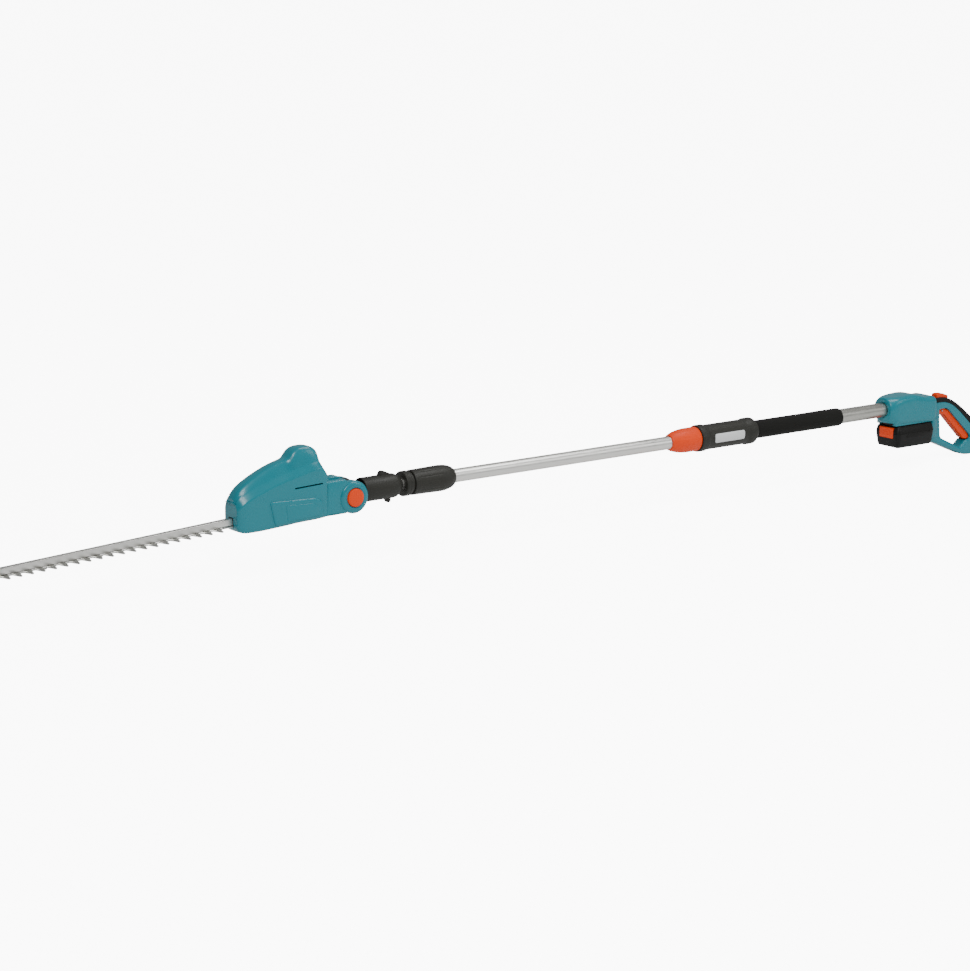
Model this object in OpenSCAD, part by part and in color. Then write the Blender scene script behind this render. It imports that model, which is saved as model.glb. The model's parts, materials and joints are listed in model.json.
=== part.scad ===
// Long-reach cordless hedge trimmer on a telescopic pole.
// Stations (x) run along the pole from the knuckle pivot: the blade is at -X and the handle at +X.
// Heights are measured from the pole's axis, and the near side of the object is -Y.

/* [Blade] */
// Number of teeth along each side of a blade
tooth_count = 22; // [8:1:22]
// Spacing of the teeth
tooth_pitch = 25.6; // [22:0.2:25.8]
// Distance from the pole's centre plane to a tooth tip
tooth_reach = 32; // [26:1:36]
// Width of a tooth where it meets the blade's strip
tooth_base = 18; // [12:1:20]
// Thickness of one blade
blade_t = 2; // [1.5:0.1:2.5]
// Width and height of the square guide bar
bar_size = 14; // [12:0.5:16]
// Downward slope of the blade towards its tip, in degrees
blade_droop = 3; // [0:0.5:5]
// Travel of each blade each way from its middle position
blade_stroke = 6.4; // [4:0.2:7]

/* [Gear head] */
// Distance from the pivot to the head's nose
nose_reach = 284; // [280:1:300]
// Half of the head's width
head_half = 33; // [32:0.5:36]
// Wall of the moulded shells
wall = 3; // [2:0.2:3.4]
// Radius of the knuckle's round hub
hub_r = 35; // [34:0.5:37]
// Height of the motor hump above the pole's axis
hump_top = 115; // [112:1:120]
// Radius of the round tilt button
button_r = 19.5; // [16:0.5:20]

/* [Gears] */
// Teeth on the crank gear
crank_teeth = 50; // [50:1:52]
// Teeth on the motor pinion
pinion_teeth = 14; // [12:2:14]

/* [Pole] */
// Outer radius of the slim inner tube
inner_r = 15; // [14.8:0.1:15]
// Outer radius of the thick outer tube
outer_r = 17.5; // [17.4:0.1:17.8]
// Wall of both tubes
tube_wall = 1.5; // [1.2:0.1:1.5]
// Radius of the foam grip
foam_r = 21.5; // [20:0.5:23]

/* [Rear housing] */
// Half of the rear housing's width
housing_half = 36; // [35:0.5:38]
// Half of the D-handle's width
handle_half = 17; // [16:0.5:19]

/* [Battery] */
// Length of the battery along the pole
battery_l = 122; // [119:1:123]
// Half of the battery's width
battery_half = 39.5; // [38:0.5:40]
// Height of the battery's case below the dock
battery_h = 53; // [50:1:56]

/* [Hidden] */

$fn = 64;
hull_fn = 28;
eps = 0.02;
gap = 0.3;
big = 400;

// Colours of the materials
TEAL = [0.02, 0.52, 0.56];
ORANGE = [0.87, 0.33, 0.15];
CHARCOAL = [0.22, 0.22, 0.20];
BLACK = [0.10, 0.10, 0.09];
STEEL = [0.70, 0.70, 0.68];
ALU = [0.78, 0.78, 0.76];
BRASS = [0.75, 0.60, 0.30];

// Stations along the pole, from the pivot
handle_end = 1907;
guard_reach = 605;
handle_low = 142;
pole_z = handle_low;

arm_start = 37;
arm_end = 135;
arm_r = 26.5;
ring_start = 142;
nut_start = 165;
nut_end = 276;
clamp_start = 890;
sleeve_start = 970;
sleeve_end = 1147;
foam_start = 1149;
foam_end = 1419;
outer_start = 962;
outer_end = 1616;
tail_x = 1112;
housing_nose = 1566;
housing_rear = 1719;
dock_z = -40;
battery_x = 1583;

// Blade frame: x from the nose towards the pivot, z from the guide bar's underside
bar_z = -31;
bar_back = 60;
bar_front = -guard_reach + 9;
guard_top = bar_size + 4;
guard_x = nose_reach + guard_reach * cos(blade_droop) + guard_top * sin(blade_droop);
pivot_x = (guard_x - handle_end) / 2;
first_tooth = -39.5;
strip_half = 9.5;
tooth_tip = 4.5;
upper_top = -0.1;
lower_top = upper_top - blade_t - 0.1;
crank_x = 148;
gear_module = 1;
motor_x = crank_x + gear_module * (crank_teeth + pinion_teeth) / 2;
gear_z = 30;
gear_t = 8;
plate_z = 42;
plate_t = 3;
motor_r = 19.5;
motor_h = 68;
post_r = 4;
bush_r = 6;
running = 0.05;
eccentric_r = 9;
yoke_half_x = 26;
yoke_half_y = 21;
screw_xs = [for (i = [0:4]) bar_front + 40 + i * 125];
blade_screw_r = 2;

// Hub: its height, and distances along Y from the pole's centre plane
hub_z = -5;
tongue_half = 13.5;
ear_in = 16.5;
ear_out = 36;
button_out = 42;
pin_r = 8;
pocket_y = 20;
spring_t = 2.8;
hub_gap = 0.6;

// A point on a cubic curve, and the curve as points
function cubic(a, b, c, d, t) =
    pow(1 - t, 3) * a + 3 * pow(1 - t, 2) * t * b + 3 * (1 - t) * t * t * c + t * t * t * d;
function curve(a, b, c, d, n) = [for (i = [0:n]) cubic(a, b, c, d, i / n)];

// Frames
module on_pole() translate([pivot_x, 0, pole_z]) children();
module on_hub() on_pole() translate([0, 0, hub_z]) children();
module on_blade() on_pole() translate([-nose_reach, 0, bar_z]) rotate([0, -blade_droop, 0]) children();

// A solid of revolution about the pole's axis; the outline's points are [radius, station]
module turned(outline) rotate([0, 90, 0]) rotate_extrude($fn = 96) polygon(outline);

// A cylinder along the pole from station a to station b
module rod_x(r, a, b) translate([a, 0, 0]) rotate([0, 90, 0]) cylinder(r = r, h = b - a);

// A tube along the pole from station a to station b
module tube_x(r, bore, a, b) difference() {
    rod_x(r, a, b);
    rod_x(bore, a - 1, b + 1);
}

// A cylinder along Y from a to b at station x and height z
module rod_y(r, a, b, x = 0, z = 0) translate([x, b, z]) rotate([90, 0, 0]) cylinder(r = r, h = b - a);

// A side profile in X and Z, given the thickness from Y = a to Y = b
module slab(points, a, b) translate([0, b, 0]) rotate([90, 0, 0]) linear_extrude(b - a) polygon(points);

// A box between two corners
module block(a, b) translate(a) cube(b - a);

// A long hole along X with round ends, for a screw that a moving blade passes
module long_hole(r, half, z, h) {
    for (s = [-1, 1]) translate([s * half, 0, z]) cylinder(r = r, h = h);
    translate([-half, -r, z]) cube([2 * half, 2 * r, h]);
}

// The half space on one side of the centre plane: side is -1 for near, 1 for far
module half_space(side) translate([-big * 3, side < 0 ? -big : 0, -big]) cube([big * 9, big, big * 2]);

// A flat toothed wheel with straight-sided teeth
module gear_2d(teeth) {
    root = gear_module * (teeth / 2 - 1.2);
    tip = gear_module * (teeth / 2 + 0.8);
    step = 360 / teeth;
    polygon([for (i = [0:teeth - 1]) for (k = [[-0.27, root], [-0.09, tip], [0.09, tip], [0.27, root]])
        k[1] * [cos((i + k[0]) * step), sin((i + k[0]) * step)]]);
}

// ---- Blade ----

module guide_bar() color(ALU) on_blade() difference() {
    h = bar_size / 2;
    block([bar_front, -h, 0], [bar_back, h, bar_size]);
    block([bar_front - 1, -h + 1.7, 1.7], [bar_back + 1, h - 1.7, bar_size - 1.7]);
    for (x = screw_xs) translate([x, 0, -1]) cylinder(r = blade_screw_r + running, h = 4);
}

// One side's teeth, pointing along +Y
module tooth_row() for (i = [0:tooth_count - 1])
    translate([first_tooth - i * tooth_pitch, 0]) polygon([
        [-tooth_base / 2, strip_half - eps], [tooth_base / 2, strip_half - eps],
        [tooth_tip / 2, tooth_reach - 0.8], [tooth_tip / 2 - 1, tooth_reach],
        [-tooth_tip / 2 + 1, tooth_reach], [-tooth_tip / 2, tooth_reach - 0.8]]);

module toothed_blade(top) on_blade() translate([0, 0, top - blade_t]) difference() {
    linear_extrude(blade_t) {
        tooth_row();
        mirror([0, 1]) tooth_row();
        translate([bar_front + 11, -strip_half]) square([crank_x - bar_front - 11, 2 * strip_half]);
        translate([crank_x - yoke_half_x, -yoke_half_y]) square([2 * yoke_half_x, 2 * yoke_half_y]);
    }
    for (x = screw_xs)
        translate([x, 0, 0]) long_hole(blade_screw_r + gap, blade_stroke + gap, -1, blade_t + 2);
    translate([crank_x, 0, -1]) linear_extrude(blade_t + 2)
        square([2 * (eccentric_r + 2 * blade_stroke + gap), 2 * (eccentric_r + blade_stroke + gap)],
            center = true);
}

module upper_blade() color(STEEL) toothed_blade(upper_top);
module lower_blade() color(STEEL) toothed_blade(lower_top);

module blade_screws() color(STEEL) on_blade() for (x = screw_xs) translate([x, 0, 0]) {
    translate([0, 0, lower_top - blade_t - 3]) cylinder(r = blade_screw_r, h = 8);
    translate([0, 0, lower_top - blade_t - 1.4]) cylinder(r = 5.5, h = 1.2);
    translate([0, 0, lower_top - blade_t - 4]) cylinder(r = 3.6, h = 2.7, $fn = 6);
}

// Plug in the bar's end with a blunt plate that keeps the tips off walls and soil
module tip_guard() color(BLACK) on_blade() difference() {
    union() {
        h = bar_size / 2 - 1.9;
        block([bar_front - 3, -h, 1.9], [bar_front + 22, h, bar_size - 1.9]);
        translate([bar_front - 9, 0, 0]) rotate([0, 90, 0]) linear_extrude(6) hull() {
            for (y = [-15, 15]) translate([0, y]) circle(r = 7, $fn = hull_fn);
            for (y = [-6, 6]) translate([-bar_size, y]) circle(r = 4, $fn = hull_fn);
        }
        block([bar_front - 9, -9, bar_size + 0.1], [bar_front + 16, 9, bar_size + 3]);
    }
    translate([bar_front - 6, 0, bar_size / 2]) rotate([90, 0, 0]) cylinder(r = 1.6, h = 60, center = true);
}

// ---- Gear head ----

// Side profiles of the head: the flanks end at a crease, and the ridge is higher and narrower
flank_profile = concat(
    [[-62, 36], [-62, -38], [-72, -40], [-190, -46], [-256, -49]],
    curve([-262, -49], [-280, -48], [-284, -36], [-284, -22], 6),
    curve([-284, 8], [-280, 26], [-240, 42], [-185, 56], 10),
    curve([-150, 64], [-110, 73], [-78, 78], [-68, 60], 6));
ridge_profile = concat(
    [[-64, 36], [-64, 0], [-262, 0]],
    curve([-280, 18], [-274, 52], [-226, 78], [-154, 91], 12),
    [[-106, 94]],
    curve([-88, 92], [-74, 86], [-69, 60], [-64, 36], 6));

// The head's outer form, or its cavity when inset is the wall
module head_form(inset) {
    hull() {
        rotate([90, 0, 0]) linear_extrude(2 * (head_half - inset), center = true)
            offset(delta = -inset) polygon(flank_profile);
        rotate([90, 0, 0]) linear_extrude(2 * (14 - inset / 2), center = true)
            offset(delta = -inset) polygon(ridge_profile);
    }
    hull() {
        for (x = [-120, -100]) translate([x, 0, hump_top - 24.5]) sphere(r = 24.5 - inset, $fn = hull_fn);
        translate([-104, 0, 30]) cylinder(r = 28 - inset, h = 10, $fn = hull_fn);
    }
}

head_bosses = [[-270, 26], [-222, 38], [-168, 66], [-74, 46], [-74, -24]];

// One half of the head: flank, neck, ear of the hub, screw bosses
module head_shell(side) color(TEAL) on_pole() difference() {
    intersection() {
        union() {
            difference() {
                head_form(0);
                head_form(wall);
            }
            difference() {
                block([-76, -head_half, -38], [-20, head_half, 36]);
                block([-72, -30, -34], [-41, 30, 32]);
            }
            rod_y(hub_r, -ear_out, ear_out, 0, hub_z);
            intersection() {
                head_form(0);
                for (b = head_bosses) rod_y(4.5, -head_half, head_half, b[0], b[1]);
            }
        }
        half_space(side);
    }
    translate([0, 0, hub_z]) {
        rod_y(hub_r + hub_gap, -ear_in, ear_in);
        rod_y(pin_r + running, -pocket_y - 1, pocket_y + 1);
        rod_y(button_r + gap, -ear_out - 1, -pocket_y);
        rod_y(button_r + gap, pocket_y, ear_out + 1);
    }
    for (b = head_bosses) {
        rod_y(1.5 + running, -22, head_half + 1, b[0], b[1]);
        rod_y(3.2, 22, head_half + 1, b[0], b[1]);
    }
    translate([-nose_reach, 0, bar_z]) rotate([0, -blade_droop, 0]) {
        block([-8, -12, -9], [9, 12, bar_size + 2]);
        block([-8, -head_half + 6, -9], [14, head_half - 6, 1]);
    }
    rod_y(3.2, side < 0 ? -38 : -1, side < 0 ? -28 : 0, -62, 0);
    slab([[-144, 32], [-76, 34.6], [-76, 37], [-144, 34.4]], -head_half - 1, -head_half + 1);
}

module head_shell_left() head_shell(-1);
module head_shell_right() head_shell(1);

module head_screws() color(STEEL) on_pole() for (b = head_bosses) {
    rod_y(1.5, -20, 24, b[0], b[1]);
    rod_y(2.9, 22.1, 24.6, b[0], b[1]);
}

// Cast plate: it clamps the guide bar in front and carries the motor and the crank
module gear_plate() color(ALU) on_blade() difference() {
    union() {
        block([14, -14, bar_size + 0.1], [bar_back, 14, plate_z]);
        block([bar_back - 1, -22, plate_z], [motor_x + 24, 22, plate_z + plate_t]);
        block([34, -14, plate_z - 4], [bar_back, 14, plate_z + plate_t]);
        translate([crank_x, 0, plate_z - 3]) cylinder(r = 7, h = 3.5);
    }
    translate([motor_x, 0, plate_z - 1]) cylinder(r = 9, h = plate_t + 2);
    translate([crank_x, 0, plate_z - 4]) cylinder(r = post_r, h = plate_t + 6);
    for (x = [24, 48]) translate([x, 0, bar_size]) cylinder(r = 2.5, h = plate_z);
}

module gear_post() color(STEEL) on_blade() translate([crank_x, 0, 4]) {
    cylinder(r = post_r, h = plate_z + plate_t - 4);
    translate([0, 0, gear_z - 7.4]) cylinder(r = post_r - 0.5, h = 1);
}

module crank_gear() color(STEEL) on_blade() translate([crank_x, 0, 0]) difference() {
    union() {
        translate([0, 0, gear_z]) linear_extrude(gear_t) gear_2d(crank_teeth);
        translate([0, 0, 0.4]) cylinder(r = 10, h = gear_z);
        translate([0, blade_stroke, upper_top - blade_t + 0.05]) cylinder(r = eccentric_r, h = blade_t + 0.8);
        translate([0, -blade_stroke, lower_top - blade_t]) cylinder(r = eccentric_r, h = blade_t + 0.2);
    }
    translate([0, 0, 3.6]) cylinder(r = bush_r, h = gear_z + gear_t);
    for (a = [0:60:300]) rotate(a + 30) translate([17, 0, gear_z - 1]) cylinder(r = 4.5, h = gear_t + 2);
}

module crank_bush() color(BRASS) on_blade() translate([crank_x, 0, 3.7]) difference() {
    cylinder(r = bush_r - 0.01, h = gear_z + gear_t - 4);
    translate([0, 0, -1]) cylinder(r = post_r + running, h = gear_z + gear_t);
}

module motor_can() color(CHARCOAL) on_blade() translate([motor_x, 0, plate_z + plate_t + 0.05]) difference() {
    union() {
        cylinder(r = motor_r, h = motor_h - 5);
        translate([0, 0, motor_h - 5]) cylinder(r = motor_r - 4, h = 5);
    }
    translate([0, 0, -1]) cylinder(r = 3.2, h = motor_h - 4);
    translate([0, 0, 2]) cylinder(r = motor_r - 3, h = motor_h - 10);
}

module motor_rotor() color(STEEL) on_blade() translate([motor_x, 0, 0]) {
    translate([0, 0, gear_z + 0.5]) linear_extrude(gear_t - 1)
        rotate(180 / pinion_teeth) gear_2d(pinion_teeth);
    translate([0, 0, gear_z + 0.5]) cylinder(r = 3, h = motor_h + 7);
    translate([0, 0, plate_z + plate_t + 10]) cylinder(r = motor_r - 4.5, h = motor_h - 26);
}

// Dark lip seal around the bar where it leaves the nose
module blade_wiper() color(BLACK) on_blade() difference() {
    block([-2, -11.5, -0.05], [6, 11.5, bar_size + 1.8]);
    block([-3, -bar_size / 2 - 0.05, -1], [7, bar_size / 2 + 0.05, bar_size + 0.05]);
}

// ---- Knuckle ----

module hub_cap() color(TEAL) on_hub() {
    rod_y(button_r, pocket_y + 8, ear_out + 2);
    rod_y(button_r - 2, ear_out + 1, button_out);
}

module tilt_button() color(ORANGE) on_hub() {
    rod_y(button_r, -button_out + 1.5, -pocket_y - 8);
    rod_y(button_r - 1.5, -button_out, -pocket_y - 8);
}

module tilt_spring() color(STEEL) on_hub() difference() {
    rod_y(12, -pocket_y - 0.05 - spring_t, -pocket_y - 0.05);
    rod_y(9.5, -pocket_y - 4, -pocket_y + 1);
}

module pivot_pin() color(STEEL) on_hub() rod_y(pin_r, -pocket_y + 0.1, pocket_y - 0.1);

// Notched ring on the arm that sets the tilt steps
module detent_ring() color(STEEL) on_hub() difference() {
    rod_y(30, -tongue_half - 2.3, -tongue_half - 0.1);
    rod_y(pin_r + gap, -ear_in, 0);
    for (a = [0:15:345]) rotate([0, a, 0]) rod_y(1.8, -ear_in, 0, 25, 0);
}

module thrust_washer() color(STEEL) on_hub() difference() {
    rod_y(28, tongue_half + 0.1, tongue_half + 2.3);
    rod_y(pin_r + gap, 0, ear_in);
}

// Arm with a round tongue between the hub's ears, and a hook above and below for the lead
module knuckle_arm() color(CHARCOAL) on_pole() difference() {
    union() {
        rod_y(hub_r - 1.4, -tongue_half, tongue_half, 0, hub_z);
        block([0, -tongue_half, -20], [arm_start + 6, tongue_half, 18]);
        turned([[0, arm_start], [arm_r - 1.5, arm_start], [arm_r, arm_start + 1.5], [arm_r, arm_end - 14],
            [arm_r - 1.5, arm_end - 8], [20, arm_end - 2], [19, arm_end], [0, arm_end]]);
        slab([[84, 24], [86, 33], [90, 35.5], [104, 31], [113, 26], [112, 22]], -5, 5);
        slab([[100, -24], [103, -34], [108, -35.5], [113, -32], [113, -22]], -5, 5);
    }
    rod_y(pin_r + running, -30, 30, 0, hub_z);
    rod_x(inner_r + running, 60, arm_end + 1);
    rod_x(6, 20, 61);
    block([92, -6, 26.8], [104, 6, 29.5]);
}

module front_tube() color(ALU) on_pole() tube_x(inner_r, inner_r - tube_wall, 60.1, 204);

module coupling_ring() color(CHARCOAL) on_pole() turned([
    [inner_r, ring_start], [26, ring_start], [27.5, ring_start + 2], [27.5, nut_start - 8],
    [26.3, nut_start - 6], [26.3, nut_start - 2], [21, nut_start - 2], [21, 203], [inner_r, 203]]);

module coupling_nut() color(CHARCOAL) on_pole() difference() {
    turned(concat([[22, nut_start], [27, nut_start], [27.5, nut_start + 2], [28.7, nut_end - 40]],
        curve([28.7, nut_end - 38], [28.6, nut_end - 22], [25, nut_end - 6], [17.5, nut_end], 8),
        [[inner_r + gap, nut_end], [inner_r + gap, nut_end - 8], [22, nut_end - 20]]));
    for (a = [0:20:340]) rotate([a, 0, 0]) block([nut_start + 16, -0.6, 28], [nut_end - 48, 0.6, 32]);
}

module tube_collar() color(ALU) on_pole() tube_x(21.4, inner_r, 226, 250);

// ---- Pole ----

module inner_tube() color(ALU) on_pole() tube_x(inner_r, inner_r - tube_wall, 206, tail_x);

module boom_lead() color(BLACK) on_pole() rod_x(4, 212, 540);

module guide_bush() color(BLACK) on_pole() tube_x(outer_r - tube_wall - running, 11, tail_x, tail_x + 18);

module clamp_nut() color(ORANGE) on_pole() turned([
    [inner_r + gap, clamp_start], [17.5, clamp_start], [18.6, clamp_start + 2], [23.4, clamp_start + 14],
    [26.6, clamp_start + 28], [28, clamp_start + 40], [28.2, clamp_start + 48], [28.2, sleeve_start - 2.5],
    [27.6, sleeve_start - 0.5], [25.2, sleeve_start - 0.5], [25.2, clamp_start + 34],
    [20.6, clamp_start + 18], [inner_r + gap, clamp_start + 12]]);

// Split collet that the clamp nut squeezes onto the inner tube
module clamp_collet() color(BLACK) on_pole() difference() {
    turned([[inner_r + running, 911], [18.6, 911], [19.9, 916], [19.9, 955], [inner_r + running, 955]]);
    for (a = [0:90:270]) rotate([a, 0, 0]) block([910, -1, 0], [940, 1, 25]);
}

module clamp_sleeve() color(CHARCOAL) on_pole() turned([
    [20.1, 928], [24.8, 928], [24.8, sleeve_start], [30, sleeve_start], [31.2, sleeve_start + 3],
    [31.2, sleeve_start + 20], [29.2, sleeve_start + 34], [29.2, sleeve_end - 45], [31.2, sleeve_end - 31],
    [31.2, sleeve_end - 12], [30, sleeve_end - 8], [24.5, sleeve_end - 2], [23.5, sleeve_end],
    [outer_r, sleeve_end], [outer_r, outer_start], [20.1, outer_start - 4]]);

// Blank plate on the sleeve's near side
module badge_plate() color([0.75, 0.75, 0.73]) on_pole() intersection() {
    tube_x(29.9, 29.25, 1000, 1100);
    union() {
        block([1009, -40, -8], [1099, 0, 8]);
        block([1012, -40, -11], [1096, 0, 11]);
        for (x = [1012, 1096]) for (z = [-8, 8]) rod_y(3, -40, 0, x, z);
    }
}

module foam_grip() color(BLACK) on_pole() turned([
    [outer_r, foam_start], [foam_r - 3, foam_start], [foam_r - 1, foam_start + 2], [foam_r, foam_start + 6],
    [foam_r, foam_end - 8], [foam_r - 1, foam_end - 3], [foam_r - 3, foam_end], [outer_r, foam_end]]);

module outer_tube() color(ALU) on_pole() tube_x(outer_r, outer_r - tube_wall, outer_start, outer_end);

module coiled_lead() color(BLACK) on_pole() rod_x(8, tail_x + 30, outer_end - 4);

// ---- Rear housing and D-handle ----

handle_front = battery_x + battery_l + 0.6;
handle_outline = concat(
    [[handle_front, -88], [handle_front, 18]],
    curve([1750, 12], [1784, 12], [1808, -4], [1865, -52], 8),
    curve([1890, -76], [1906, -92], [1910, -124], [1884, -139], 8),
    [[1854, -handle_low], [1826, -handle_low + 4]]);
opening_outline = [[1747, -16], [1772, -18], [1854, -94], [1852, -104], [1839, -104], [1823, -118],
    [1752, -86]];
overmould_start = housing_rear + 11;
overmould_outline = concat(
    [[overmould_start, 1], [overmould_start, 12]],
    curve([1750, 12], [1784, 12], [1808, -4], [1865, -52], 8),
    curve([1890, -76], [1903, -89], [1908, -104], [handle_end, -112], 5),
    [[1898, -108], [1886, -92], [1855, -65]],
    curve([1852, -62], [1806, -19], [1785, 1], [1750, 1], 6));
trigger_outline = [[1744, -20], [1746, -28], [1768, -33], [1836, -100], [1846, -104], [1857, -101],
    [1852, -88], [1782, -22], [1768, -16], [1752, -15]];
trigger_slot = [[1741, -10], [1776, -10], [1866, -86], [1872, -104], [1850, -114], [1830, -106], [1790, -66],
    [1741, -36]];
trigger_pin_at = [1758, -22];
lock_start = 1741;
lock_end = 1781;
lock_half = 9;

// Outer form of the housing in front of the handle, or its cavity
module housing_form(inset) {
    hull() {
        rod_x(30 - inset, housing_nose + inset, housing_nose + 10, $fn = hull_fn);
        for (s = [-1, 1]) for (z = [-30, 14]) translate([1590, s * (housing_half - 10), z])
            rotate([0, 90, 0]) cylinder(r = 10 - inset, h = housing_rear - 1596 - inset, $fn = hull_fn);
    }
    hull() {
        block([1582 + inset, -28, 10], [1684 - inset, 28, 24 - inset]);
        block([1612, -16, 29 - inset], [1656, 16, 33 - inset]);
    }
    hull() {
        block([1684, -28, 10], [housing_rear - inset, 28, 20 - inset]);
        block([1692, -14, 18], [housing_rear - 6, 14, 24.5 - inset]);
    }
}

// Leg behind the battery, which narrows from the housing down to the handle's lower link
leg_outline = [[handle_front, -88], [handle_front, dock_z + 2], [housing_rear, dock_z + 2], [1740, -88]];
leg_section = [[housing_half - 2, dock_z + 2], [handle_half, -88], [-handle_half, -88],
    [2 - housing_half, dock_z + 2]];

module leg() intersection() {
    slab(leg_outline, -housing_half, housing_half);
    translate([handle_front - 1, 0, 0]) rotate([90, 0, 90]) linear_extrude(60) polygon(leg_section);
}

housing_bosses = [[1630, 24], [1648, -16], [1706, 12], [1724, -78], [1872, -118], [1800, -123]];
boss_half = [22, 34, 34, handle_half, handle_half, handle_half];

module housing_shell(side) color(TEAL) on_pole() difference() {
    intersection() {
        union() {
            difference() {
                housing_form(0);
                housing_form(wall);
            }
            block([battery_x - 4, -housing_half + 1, dock_z],
                [housing_rear - 12, housing_half - 1, dock_z + 14]);
            difference() {
                slab(handle_outline, -handle_half, handle_half);
                block([1716, -handle_half + 4, -72], [1738, handle_half - 4, 12]);
            }
            leg();
            for (i = [0:2]) rod_y(5, -boss_half[i], boss_half[i], housing_bosses[i][0], housing_bosses[i][1]);
            rod_x(22, housing_nose + 2, housing_nose + 15);
        }
        half_space(side);
    }
    slab(opening_outline, -big, big);
    slab(overmould_outline, -big, big);
    slab(trigger_slot, -11.5, 11.5);
    rod_y(2 + running, -14, 14, trigger_pin_at[0], trigger_pin_at[1]);
    block([lock_start - gap, -lock_half - gap, -7], [lock_end + gap, lock_half + gap, 40]);
    rod_x(outer_r, housing_nose - 1, outer_end);
    battery_channel();
    for (i = [0:5]) {
        b = housing_bosses[i];
        rod_y(1.5 + running, -12, boss_half[i] + 20, b[0], b[1]);
        rod_y(3.2, boss_half[i] - 5, boss_half[i] + 20, b[0], b[1]);
    }
}

// T-shaped channel that the battery's rail slides in, open towards the front
module battery_channel() {
    block([battery_x - 30, -20.4, dock_z - 1], [battery_x + 111, 20.4, dock_z + 5]);
    block([battery_x - 30, -25.4, dock_z + 4], [battery_x + 111, 25.4, dock_z + 8.4]);
    block([battery_x + 98, -21, dock_z + 1], [battery_x + 112, 21, dock_z + 15]);
}

module housing_left() housing_shell(-1);
module housing_right() housing_shell(1);

module housing_screws() color(STEEL) on_pole() for (i = [0:5]) {
    b = housing_bosses[i];
    rod_y(1.5, -10, boss_half[i] - 4, b[0], b[1]);
    rod_y(2.9, boss_half[i] - 4.9, boss_half[i] - 2.5, b[0], b[1]);
}

// Collar that holds the outer tube's end in the housing
module tube_socket() color(BLACK) on_pole() difference() {
    union() {
        tube_x(21, outer_r, 1582, 1612);
        block([1590, -26, -4], [1604, 26, 4]);
    }
    rod_x(outer_r, 1570, 1620);
}

module control_board() color([0.05, 0.30, 0.12]) on_pole() {
    block([1654, -24, -24], [1704, 24, -22.4]);
    for (x = [1664, 1678]) block([x, -18, -22.5], [x + 8, -8, -12]);
    translate([1684, 12, -22.5]) cylinder(r = 5, h = 12);
}

module contact_block() color(BLACK) on_pole() {
    block([battery_x + 99, -20, dock_z + 2], [battery_x + 110, 20, dock_z + 14]);
    for (y = [-12, 0, 12])
        block([battery_x + 88, y - 0.4, dock_z + 1.5], [battery_x + 100, y + 0.4, dock_z + 7]);
}

module switch_unit() color(BLACK) on_pole() {
    block([1718, -8, -32], [1736, 8, -10]);
    block([1735, -2, -24], [1737.8, 2, -20]);
}

module trigger() color(ORANGE) on_pole() difference() {
    slab(trigger_outline, -11, 11);
    rod_y(2 + running, -20, 20, trigger_pin_at[0], trigger_pin_at[1]);
}

module trigger_pin() color(STEEL) on_pole() rod_y(2, -13.5, 13.5, trigger_pin_at[0], trigger_pin_at[1]);

// A closed spring envelope that stands upright
module spring(r, wire, x, z0, z1) translate([x, 0, z0]) difference() {
    cylinder(r = r, h = z1 - z0);
    translate([0, 0, -1]) cylinder(r = r - wire, h = z1 - z0 + 2);
}

module trigger_spring() color(STEEL) on_pole() spring(3, 0.8, 1812, -47.4, -43.2);

module lock_button() color(ORANGE) on_pole() slab(
    [[lock_start, 0], [lock_start, 20], [lock_start + 3, 21.5], [lock_end - 16, 20], [lock_end, 14],
        [lock_end, 0]],
    -lock_half, lock_half);

module lock_spring() color(STEEL) on_pole() spring(4, 0.9, 1754, -6.9, -0.1);

module grip_overmould() color(BLACK) on_pole() difference() {
    slab(overmould_outline, -handle_half, handle_half);
    block([lock_start - 1, -lock_half - gap, -30], [lock_end + gap, lock_half + gap, 40]);
}

// ---- Battery ----

battery_low = dock_z - battery_h;
battery_split = dock_z - 18;
battery_end = battery_x + battery_l;
cut = 4;

// The battery's outline seen from above, with cut corners, less an inset
function battery_plan(i) = [
    [battery_x + i, -battery_half + cut + i / 2], [battery_x + cut + i / 2, -battery_half + i],
    [battery_end - cut - i / 2, -battery_half + i], [battery_end - i, -battery_half + cut + i / 2],
    [battery_end - i, battery_half - cut - i / 2], [battery_end - cut - i / 2, battery_half - i],
    [battery_x + cut + i / 2, battery_half - i], [battery_x + i, battery_half - cut - i / 2]];

// The pocket in the front wall that the release button moves in
module button_pocket()
    block([battery_x - 1, -23.3, battery_split - 12.3], [battery_x + 16, 23.3, dock_z - 3.5]);

module battery_case_upper() color(BLACK) on_pole() difference() {
    union() {
        translate([0, 0, battery_split]) linear_extrude(dock_z - gap - battery_split)
            polygon(battery_plan(0));
        block([battery_x + 4, -20, dock_z - 1], [battery_x + 98, 20, dock_z + 5]);
        block([battery_x + 4, -25, dock_z + 4.3], [battery_x + 98, 25, dock_z + 8]);
    }
    translate([0, 0, battery_split - 1]) linear_extrude(dock_z - 2.5 - battery_split)
        polygon(battery_plan(2.2));
    button_pocket();
    for (y = [-12, 0, 12]) block([battery_x + 84, y - 1.4, dock_z + 1], [battery_end, y + 1.4, dock_z + 7.4]);
}

module battery_case_lower() color(BLACK) on_pole() difference() {
    intersection() {
        translate([0, 0, battery_low]) linear_extrude(battery_split - eps - battery_low)
            polygon(battery_plan(0));
        slab([[battery_x, battery_split], [battery_x, battery_low + 8], [battery_x + 10, battery_low + 2],
            [battery_x + 24, battery_low], [battery_end - 20, battery_low],
            [battery_end - 4, battery_low + 4], [battery_end, battery_low + 9], [battery_end, battery_split]], -big, big);
    }
    translate([0, 0, battery_low + 8.4]) linear_extrude(battery_h) polygon(battery_plan(2.6));
    button_pocket();
}

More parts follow.
